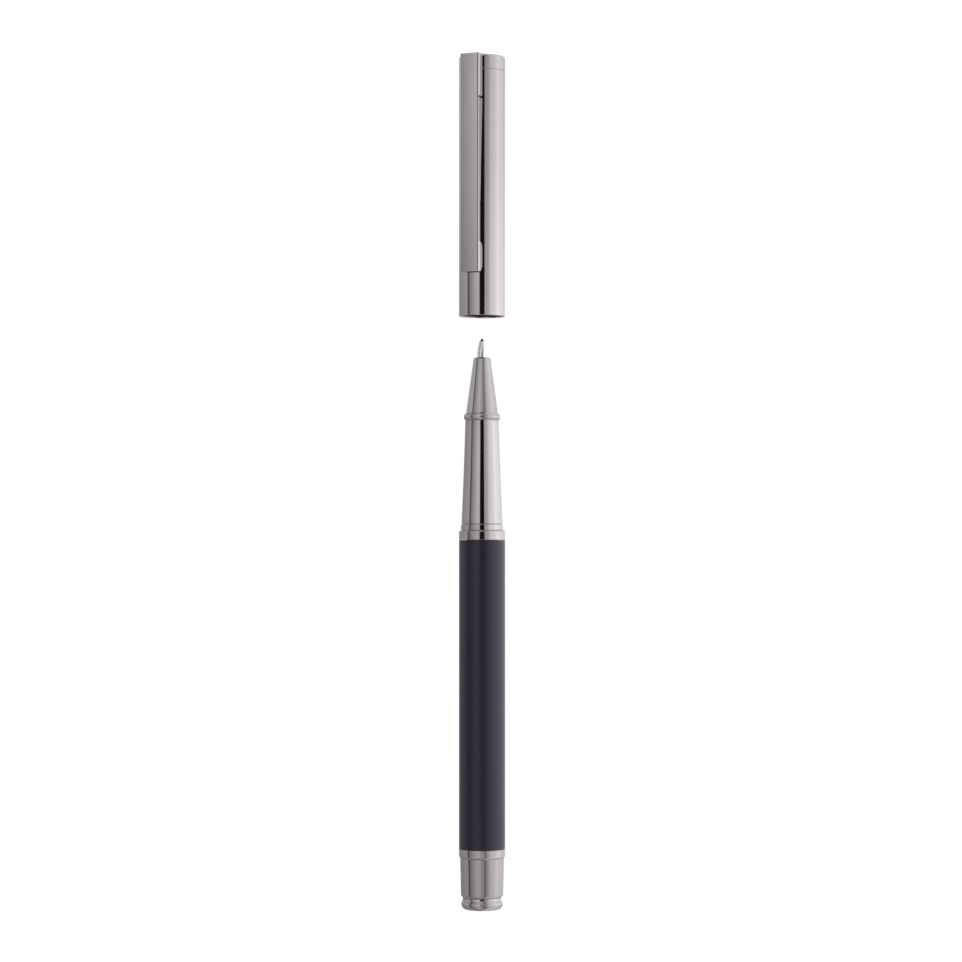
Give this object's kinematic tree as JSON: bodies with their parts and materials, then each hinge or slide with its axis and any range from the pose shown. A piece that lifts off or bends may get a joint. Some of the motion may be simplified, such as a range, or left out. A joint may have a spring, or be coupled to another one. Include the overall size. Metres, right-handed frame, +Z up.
{
  "type": "rollerball pen",
  "caption": "Rollerball pen lying with its clip cap pulled off: lacquered barrel, screw-in metal grip, spring-backed refill with rolling ball, push-on cap with sprung pocket clip.",
  "frame": {"origin": "on the table below the middle of the whole length, tail button to cap top", "axes": "+Y along the pen's axis, nib and cap towards +Y; +Z up from the table; the clip faces 27 degrees from +Z towards -X"},
  "size_m": [0.01, 0.185, 0.0117],
  "materials": {
    "gunmetal_plate": "polished gunmetal plating on brass",
    "barrel_lacquer": "satin dark aubergine lacquer on brass",
    "brass": "machined brass",
    "spring_steel": "drawn spring wire and plain steel",
    "refill_metal": "drawn refill tube, satin",
    "nickel_silver": "turned nickel silver tip",
    "carbide": "polished tungsten carbide",
    "black_plastic": "moulded black plastic",
    "white_plastic": "moulded off-white plastic",
    "ink_fibre": "ink-soaked fibre"
  },
  "bodies": {
    "barrel": {"barrel_tube": "barrel_lacquer", "front_bush": "brass", "rear_ring": "gunmetal_plate", "rear_sleeve": "gunmetal_plate", "tail_button": "gunmetal_plate", "tail_cup": "brass", "refill_spring": "spring_steel"},
    "refill": {"refill_tube": "refill_metal", "refill_end_plug": "black_plastic", "ink_reservoir": "ink_fibre", "tip_holder": "white_plastic", "feed_rod": "ink_fibre", "writing_tip": "nickel_silver"},
    "ball": {"tip_ball": "carbide"},
    "grip": {"grip_core": "brass", "centre_collar": "gunmetal_plate", "grip_sleeve": "gunmetal_plate", "bead_ring": "gunmetal_plate", "nose_cone": "gunmetal_plate"},
    "cap": {"cap_tube": "gunmetal_plate", "cap_liner": "black_plastic", "cap_crown": "gunmetal_plate", "clip_washer": "spring_steel", "clip_screw": "spring_steel", "clip_anchor": "spring_steel"},
    "clip": {"clip": "gunmetal_plate"}
  },
  "joints": [
    {"name": "cap_slide", "type": "slide", "parent": "refill", "child": "cap", "axis": [0, 1, 0], "range_m": [-0.0464, 0.03]},
    {"name": "clip_flex", "type": "hinge", "parent": "cap", "child": "clip", "pos_m": [-0.00232, 0.0923, 0.00954], "axis": [-0.891, 0, -0.454], "range_deg": [0, 5], "stiffness_Nm_per_rad": 0.3},
    {"name": "refill_travel", "type": "slide", "parent": "barrel", "child": "refill", "axis": [0, 1, 0], "range_m": [0, 0.0045], "deforming": ["refill_spring"]},
    {"name": "grip_turn", "type": "hinge", "parent": "refill", "child": "grip", "pos_m": [0, 0, 0.005], "axis": [0, 1, 0], "range_deg": [0, 2160]},
    {"name": "ball_roll", "type": "hinge", "parent": "refill", "child": "ball", "pos_m": [0, 0.031, 0.005], "axis": [1, 0, 0], "continuous": true}
  ],
  "couplings": [
    {"joint": "grip_turn", "follows": "refill_travel", "rad_per_m": 8377.6}
  ]
}
